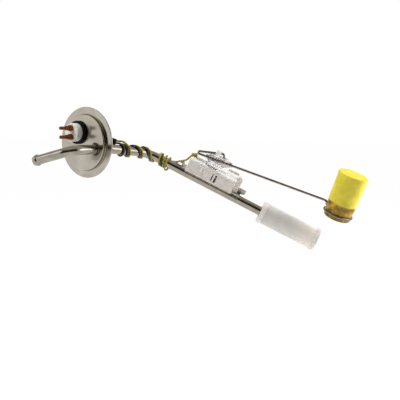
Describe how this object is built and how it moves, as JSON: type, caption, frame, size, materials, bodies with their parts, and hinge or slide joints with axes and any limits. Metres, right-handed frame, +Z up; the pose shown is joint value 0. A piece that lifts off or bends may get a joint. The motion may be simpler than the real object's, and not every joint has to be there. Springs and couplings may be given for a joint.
{
  "type": "fuel level sender",
  "caption": "Fuel level sender with round flange, two-pin connector, beaded pickup tube, slanted mast, level sensor housing, foam float on a wire arm and tube strainer.",
  "frame": {"origin": "centre of the flange's seat on the tank", "axes": "+X through the flange into the tank, +Z up as in the picture, outlet tube towards +Y"},
  "size_m": [0.2414, 0.2595, 0.1509],
  "materials": {
    "plate_steel": "satin",
    "tube_steel": "satin",
    "bracket_steel": "satin",
    "arm_wire": "satin",
    "contact_copper": "satin",
    "contact_bronze": "satin",
    "white_nylon": "matte",
    "clear_nylon": "matte",
    "black_rubber": "matte",
    "olive_insulation": "matte",
    "black_insulation": "matte",
    "float_foam": "matte",
    "resistor_ceramic": "matte",
    "strainer_plastic": "matte",
    "strainer_weave": "matte"
  },
  "bodies": {
    "sender": {"flange_plate": "plate_steel", "pickup_tube": "tube_steel", "tube_collar": "tube_steel", "connector_body": "white_nylon", "connector_seal": "black_rubber", "signal_pin": "contact_copper", "ground_pin": "contact_copper", "wire_sleeve": "black_rubber", "signal_wire": "olive_insulation", "ground_wire": "black_insulation", "mounting_bracket": "bracket_steel", "bracket_rivets": "bracket_steel", "housing_tray": "clear_nylon", "housing_cover": "clear_nylon", "resistor_card": "resistor_ceramic", "signal_terminal": "contact_bronze", "ground_terminal": "contact_bronze", "strainer_inlet": "strainer_plastic", "strainer_mesh": "strainer_weave", "strainer_cap": "strainer_plastic"},
    "arm": {"rotor": "white_nylon", "wiper_contact": "contact_bronze", "float_arm": "arm_wire", "float": "float_foam"}
  },
  "joints": [
    {"name": "float_arm_hinge", "type": "hinge", "parent": "sender", "child": "arm", "pos_m": [0.10412, -0.08275, -0.02576], "axis": [0.0634, -0.4963, 0.8658], "range_deg": [0, 80]}
  ]
}
